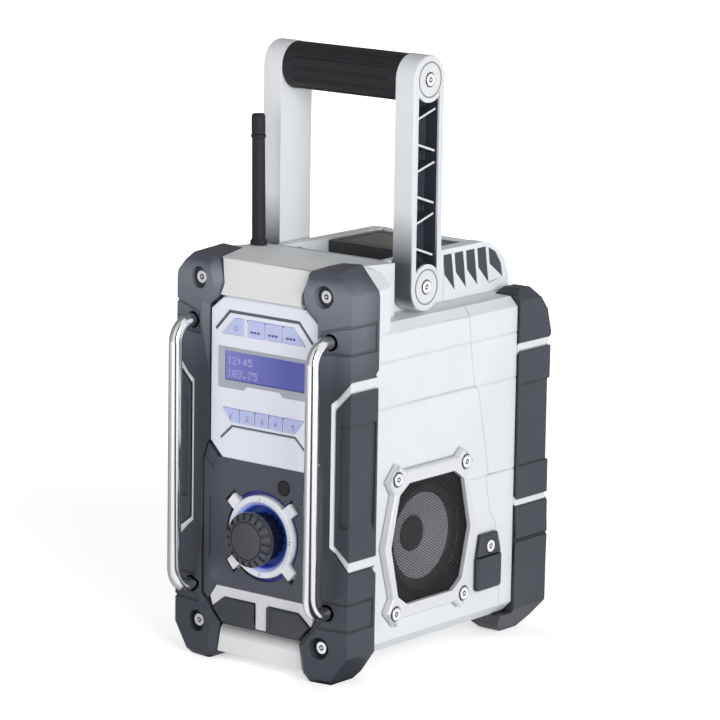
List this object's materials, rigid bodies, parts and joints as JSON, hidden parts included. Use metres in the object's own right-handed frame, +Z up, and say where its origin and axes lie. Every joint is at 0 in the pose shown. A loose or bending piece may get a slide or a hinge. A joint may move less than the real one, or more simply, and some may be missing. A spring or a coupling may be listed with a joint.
{
  "type": "jobsite radio",
  "caption": "Rugged jobsite radio with side speakers, rubber corner guards, chromed front bars, a folding carry handle, display, keys, volume dial and a rear battery bay.",
  "frame": {"origin": "centre of the whole footprint, on the surface that the radio stands on", "axes": "+Z up, -Y towards the side with the display and dial, +X to the right as that side is faced"},
  "size_m": [0.1712, 0.2664, 0.4467],
  "materials": {
    "housing_white": "fine moulded grain, satin white",
    "rubber_dark": "soft over-moulded rubber, matt",
    "cover_dark": "soft rubber flap, matt",
    "display_white": "smooth glossy bluish white",
    "key_lilac": "smooth translucent lilac",
    "control_dark": "fine grain charcoal",
    "knob_dark": "fine grain, near black",
    "dial_white": "smooth white",
    "light_blue": "translucent deep blue",
    "trim_silver": "light silver paint",
    "arm_silver": "satin die-cast",
    "bar_chrome": "polished",
    "screw_steel": "bright zinc plated",
    "mesh_black": "black perforated sheet",
    "cone_grey": "grey coated paper",
    "driver_steel": "black pressed steel",
    "lens_clear": "clear",
    "lcd_blue": "backlit blue",
    "board_green": "circuit board",
    "insulator_black": "moulded, near black"
  },
  "bodies": {
    "case": {"antenna": "rubber_dark", "battery_terminal": "insulator_black", "button_board": "board_green", "case_screws": "screw_steel", "control_panel": "control_dark", "dc_cover_anchor": "rubber_dark", "dc_jack": "insulator_black", "dial_ring": "dial_white", "display_panel": "display_white", "door_hinge_pin": "screw_steel", "encoder": "insulator_black", "front_bumper_left": "rubber_dark", "front_bumper_right": "rubber_dark", "front_guard_left": "rubber_dark", "front_guard_right": "rubber_dark", "front_housing": "housing_white", "front_ports": "insulator_black", "front_sill": "trim_silver", "guard_bar_left": "bar_chrome", "guard_bar_right": "bar_chrome", "lcd_lens": "lens_clear", "lcd_module": "lcd_blue", "light_ring": "light_blue", "main_board": "board_green", "port_trim": "trim_silver", "rear_bumper_left": "rubber_dark", "rear_bumper_right": "rubber_dark", "rear_guard_left": "rubber_dark", "rear_guard_right": "rubber_dark", "rear_housing": "housing_white", "speaker_driver_left": "driver_steel", "speaker_driver_right": "driver_steel", "speaker_frame_left": "trim_silver", "speaker_frame_right": "trim_silver", "speaker_grille_left": "mesh_black", "speaker_grille_right": "mesh_black", "top_front_plate": "housing_white"},
    "encoder_shaft": {"encoder_shaft": "screw_steel"},
    "volume_knob": {"volume_knob": "knob_dark"},
    "function_button_1": {"function_button_1": "key_lilac"},
    "function_button_2": {"function_button_2": "key_lilac"},
    "function_button_3": {"function_button_3": "key_lilac"},
    "function_button_4": {"function_button_4": "key_lilac"},
    "preset_button_1": {"preset_button_1": "key_lilac"},
    "preset_button_2": {"preset_button_2": "key_lilac"},
    "preset_button_3": {"preset_button_3": "key_lilac"},
    "preset_button_4": {"preset_button_4": "key_lilac"},
    "preset_button_5": {"preset_button_5": "key_lilac"},
    "mute_button": {"mute_button": "control_dark"},
    "port_cover_left": {"port_cover_left": "cover_dark"},
    "port_cover_right": {"port_cover_right": "cover_dark"},
    "speaker_cone_left": {"speaker_cone_left": "cone_grey"},
    "speaker_cone_right": {"speaker_cone_right": "cone_grey"},
    "handle": {"handle_arm_left": "arm_silver", "handle_arm_right": "arm_silver", "handle_grip": "rubber_dark", "handle_screws": "screw_steel"},
    "battery_door": {"battery_door": "housing_white"},
    "battery_latch": {"battery_latch": "control_dark"},
    "dc_cover_flap": {"dc_cover_flap": "rubber_dark"}
  },
  "joints": [
    {"name": "volume_push", "type": "slide", "parent": "case", "child": "encoder_shaft", "axis": [0, 1, 0], "range_m": [0, 0.001], "stiffness_N_per_m": 600},
    {"name": "volume_turn", "type": "hinge", "parent": "encoder_shaft", "child": "volume_knob", "pos_m": [0, -0.11675, 0.0989], "axis": [0, 1, 0], "continuous": true},
    {"name": "function_1_press", "type": "slide", "parent": "case", "child": "function_button_1", "axis": [0, 1, 0], "range_m": [0, 0.0012], "stiffness_N_per_m": 300},
    {"name": "function_2_press", "type": "slide", "parent": "case", "child": "function_button_2", "axis": [0, 1, 0], "range_m": [0, 0.0012], "stiffness_N_per_m": 300},
    {"name": "function_3_press", "type": "slide", "parent": "case", "child": "function_button_3", "axis": [0, 1, 0], "range_m": [0, 0.0012], "stiffness_N_per_m": 300},
    {"name": "function_4_press", "type": "slide", "parent": "case", "child": "function_button_4", "axis": [0, 1, 0], "range_m": [0, 0.0012], "stiffness_N_per_m": 300},
    {"name": "preset_1_press", "type": "slide", "parent": "case", "child": "preset_button_1", "axis": [0, 1, 0], "range_m": [0, 0.0012], "stiffness_N_per_m": 300},
    {"name": "preset_2_press", "type": "slide", "parent": "case", "child": "preset_button_2", "axis": [0, 1, 0], "range_m": [0, 0.0012], "stiffness_N_per_m": 300},
    {"name": "preset_3_press", "type": "slide", "parent": "case", "child": "preset_button_3", "axis": [0, 1, 0], "range_m": [0, 0.0012], "stiffness_N_per_m": 300},
    {"name": "preset_4_press", "type": "slide", "parent": "case", "child": "preset_button_4", "axis": [0, 1, 0], "range_m": [0, 0.0012], "stiffness_N_per_m": 300},
    {"name": "preset_5_press", "type": "slide", "parent": "case", "child": "preset_button_5", "axis": [0, 1, 0], "range_m": [0, 0.0012], "stiffness_N_per_m": 300},
    {"name": "mute_press", "type": "slide", "parent": "case", "child": "mute_button", "axis": [0, 1, 0], "range_m": [0, 0.0012], "stiffness_N_per_m": 300},
    {"name": "port_cover_left_open", "type": "hinge", "parent": "case", "child": "port_cover_left", "pos_m": [-0.0096, -0.10655, 0.038], "axis": [0, 0, 1], "range_deg": [0, 100]},
    {"name": "port_cover_right_open", "type": "hinge", "parent": "case", "child": "port_cover_right", "pos_m": [0.0096, -0.10655, 0.038], "axis": [0, 0, -1], "range_deg": [0, 100]},
    {"name": "speaker_left_stroke", "type": "slide", "parent": "case", "child": "speaker_cone_left", "axis": [-1, 0, 0], "range_m": [-0.002, 0.002], "stiffness_N_per_m": 1200},
    {"name": "speaker_right_stroke", "type": "slide", "parent": "case", "child": "speaker_cone_right", "axis": [1, 0, 0], "range_m": [-0.002, 0.002], "stiffness_N_per_m": 1200},
    {"name": "handle_fold", "type": "hinge", "parent": "case", "child": "handle", "pos_m": [0, -0.00775, 0.2784], "axis": [-1, 0, 0], "range_deg": [0, 86]},
    {"name": "battery_door_open", "type": "hinge", "parent": "case", "child": "battery_door", "pos_m": [0, 0.12545, 0.038], "axis": [-1, 0, 0], "range_deg": [0, 90]},
    {"name": "battery_latch_lift", "type": "hinge", "parent": "case", "child": "battery_latch", "pos_m": [0, 0.07625, 0.2908], "axis": [-1, 0, 0], "range_deg": [0, 25]},
    {"name": "dc_cover_open", "type": "hinge", "parent": "case", "child": "dc_cover_flap", "pos_m": [0.083, 0.06055, 0.0678], "axis": [0, -1, 0], "range_deg": [0, 100]}
  ]
}
